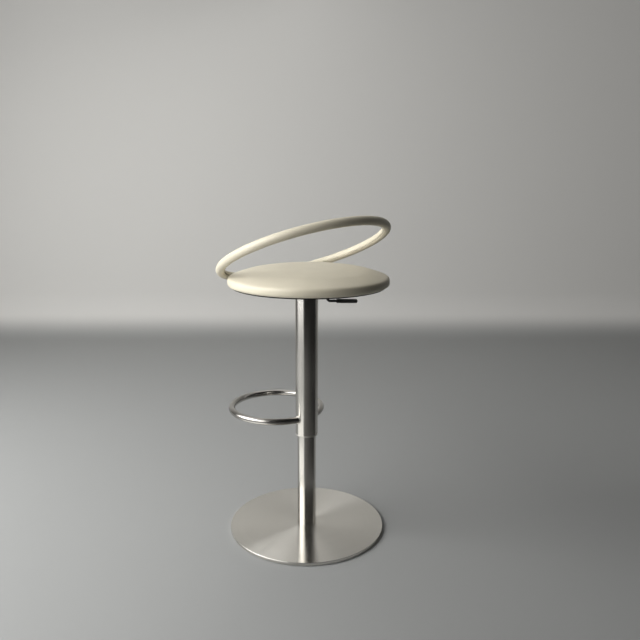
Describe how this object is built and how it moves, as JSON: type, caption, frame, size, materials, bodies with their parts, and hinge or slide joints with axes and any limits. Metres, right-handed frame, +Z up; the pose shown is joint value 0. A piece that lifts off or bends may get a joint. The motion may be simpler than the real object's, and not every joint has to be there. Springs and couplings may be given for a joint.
{
  "type": "diner counter stool",
  "caption": "Round padded swivel seat on a telescoping lift column with a flat disc base, a tilted padded hoop as backrest and a tubular foot ring.",
  "frame": {"origin": "centre of the floor contact, under the middle of the base's rubber pad, on the column's axis", "axes": "+Z up along the column; the sitter faces -Y, where the foot ring and the hoop's low point are; the release lever is on the sitter's right, at -X"},
  "size_m": [0.461, 0.4756, 0.8633],
  "materials": {
    "column_stainless": "stainless, brushed along the tube, satin",
    "base_stainless": "stainless sheet, brushed in circles about the column",
    "plain_steel": "bare mild steel",
    "zinc_steel": "zinc plated",
    "black_steel": "black powder coat",
    "cream_leather": "smooth cream leather with a fine grain",
    "black_plastic": "satin black",
    "nylon": "natural nylon",
    "black_rubber": "matt black rubber",
    "foam": "open cell upholstery foam",
    "plywood": "unsanded plywood"
  },
  "bodies": {
    "base": {"floor_pad": "black_rubber", "base_plate": "plain_steel", "base_cover": "base_stainless", "base_screw_1": "zinc_steel", "base_screw_2": "zinc_steel", "base_screw_3": "zinc_steel", "lower_tube": "column_stainless", "tube_foot": "plain_steel", "bearing_lower_race": "zinc_steel", "bearing_cage": "zinc_steel", "guide_bush": "nylon"},
    "rod": {"piston_rod": "zinc_steel", "bearing_upper_race": "zinc_steel", "rod_washer": "zinc_steel", "rod_clip": "zinc_steel", "rubber_buffer": "black_rubber", "piston": "zinc_steel", "piston_nut": "zinc_steel"},
    "seat_assembly": {"gas_cylinder": "black_steel", "rod_guide": "zinc_steel", "rod_seal": "black_rubber", "valve_body": "nylon", "upper_tube": "column_stainless", "collar_ring": "column_stainless", "collar_bush": "nylon", "tube_top_ring": "plain_steel", "foot_ring": "column_stainless", "mechanism_tray": "black_steel", "cone_socket": "plain_steel", "column_screw_1": "zinc_steel", "column_screw_2": "zinc_steel", "column_screw_3": "zinc_steel", "pivot_bracket": "zinc_steel", "lever_rivet": "zinc_steel", "seat_bolt_1": "zinc_steel", "seat_bolt_2": "zinc_steel", "seat_bolt_3": "zinc_steel", "seat_bolt_4": "zinc_steel", "seat_cover": "cream_leather", "seat_foam": "foam", "seat_board": "plywood", "bottom_cover": "black_plastic", "cover_screw_1": "black_steel", "cover_screw_2": "black_steel", "cover_screw_3": "black_steel", "cover_screw_4": "black_steel", "tee_nut_1": "zinc_steel", "tee_nut_2": "zinc_steel", "tee_nut_3": "zinc_steel", "tee_nut_4": "zinc_steel", "hoop_bar": "plain_steel", "hoop_padding": "foam", "hoop_cover": "cream_leather", "hoop_bracket": "black_steel", "hoop_bolt_1": "zinc_steel", "hoop_bolt_2": "zinc_steel"},
    "release_lever": {"lever_rod": "black_steel", "lever_grip": "black_plastic"},
    "release_pin": {"valve_pin": "zinc_steel"}
  },
  "joints": [
    {"name": "swivel", "type": "hinge", "parent": "base", "child": "rod", "pos_m": [0, 0, 0.024], "axis": [0, 0, 1], "continuous": true},
    {"name": "lift", "type": "slide", "parent": "rod", "child": "seat_assembly", "axis": [0, 0, 1], "range_m": [-0.13, 0.07]},
    {"name": "lever_pull", "type": "hinge", "parent": "seat_assembly", "child": "release_lever", "pos_m": [-0.035, 0, 0.6645], "axis": [0, 1, 0], "range_deg": [0, 6], "stiffness_Nm_per_rad": 2, "springref_deg": -2.86},
    {"name": "valve_press", "type": "slide", "parent": "seat_assembly", "child": "release_pin", "axis": [0, 0, -1], "range_m": [0, 0.004]}
  ],
  "couplings": [
    {"joint": "valve_press", "follows": "lever_pull", "m_per_rad": 0.035}
  ]
}
